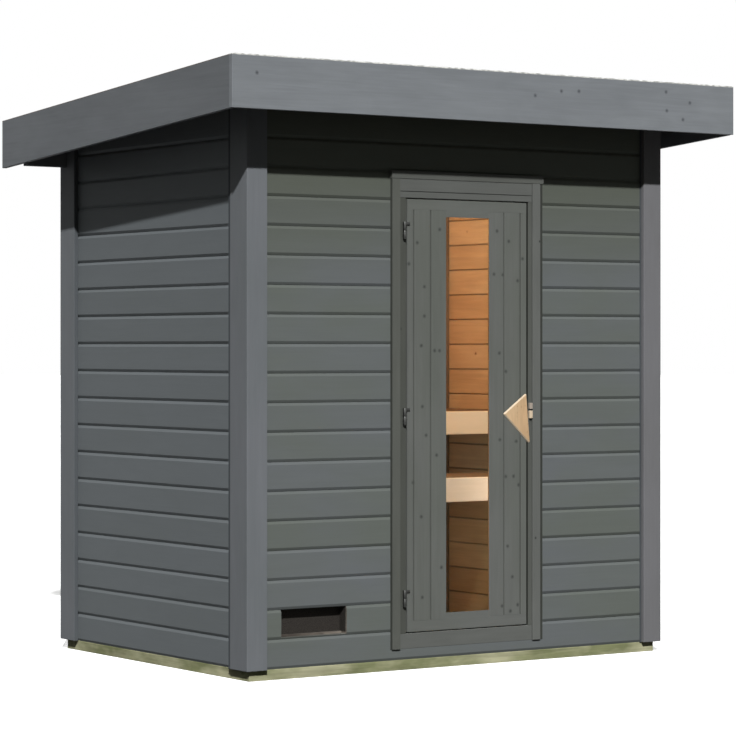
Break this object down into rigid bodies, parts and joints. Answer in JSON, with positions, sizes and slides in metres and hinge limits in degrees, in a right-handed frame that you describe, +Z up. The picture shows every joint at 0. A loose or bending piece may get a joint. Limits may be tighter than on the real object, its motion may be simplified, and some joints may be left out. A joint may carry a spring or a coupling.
{
  "type": "outdoor sauna cabin",
  "caption": "small plank-walled sauna cabin with corner posts, a roof that falls to the back behind deep fascias, a hinged glazed door and stepped benches inside",
  "frame": {"origin": "on the ground under the middle of the roof's bounding box", "axes": "+X along the front towards the right as one faces the door, +Y from the front to the back, +Z up; the door is in the -Y side"},
  "size_m": [2.458, 1.885, 2.3758],
  "materials": {
    "wall_boards": "painted grey boards, slightly rough",
    "corner_posts": "painted grey planed timber",
    "fascia_boards": "painted grey boards",
    "door_paint": "painted grey planed boards, satin",
    "treated_timber": "pressure-treated pale green softwood",
    "plain_timber": "planed softwood, unpainted",
    "bench_wood": "smooth pale hardwood, unpainted",
    "handle_wood": "oiled pale hardwood",
    "roof_felt": "dark roofing membrane, matt",
    "door_glass": "clear safety glass",
    "hinge_steel": "zinc-plated steel",
    "vent_mesh": "dark fine mesh"
  },
  "bodies": {
    "cabin": {"base_front_and_back": "treated_timber", "base_sides": "treated_timber", "floor_joists": "treated_timber", "floor": "plain_timber", "post_front_left": "corner_posts", "post_back_left": "corner_posts", "post_front_right": "corner_posts", "post_back_right": "corner_posts", "front_wall_bottom": "wall_boards", "vent_board": "wall_boards", "front_wall_left": "wall_boards", "front_wall_right": "wall_boards", "front_wall_head": "wall_boards", "right_wall": "wall_boards", "left_wall": "wall_boards", "back_wall": "wall_boards", "roof_beams": "corner_posts", "roof_deck": "plain_timber", "roof_felt": "roof_felt", "front_fascia": "fascia_boards", "left_fascia": "fascia_boards", "right_fascia": "fascia_boards", "back_fascia": "fascia_boards", "door_jamb_hinge_side": "door_paint", "door_jamb_latch_side": "door_paint", "door_frame_head": "door_paint", "door_frame_sill": "door_paint", "door_casing_sides": "door_paint", "door_casing_head": "door_paint", "hinge_frame_halves": "hinge_steel", "door_catch_blocks": "handle_wood", "vent_rim": "plain_timber", "vent_screen": "vent_mesh", "upper_bench_front": "bench_wood", "upper_bench_slats": "bench_wood", "lower_bench_front": "bench_wood", "lower_bench_slats": "bench_wood", "bench_bearers": "bench_wood", "lower_bench_rail": "bench_wood"},
    "door": {"door_boards": "door_paint", "door_rails": "door_paint", "door_glass": "door_glass", "hinge_leaf_halves": "hinge_steel", "door_handle": "handle_wood", "door_grip_inside": "handle_wood"}
  },
  "joints": [
    {"name": "door_hinge", "type": "hinge", "parent": "cabin", "child": "door", "pos_m": [-0.283, -0.7035, 0.997], "axis": [0, 0, -1], "range_deg": [0, 110]}
  ]
}
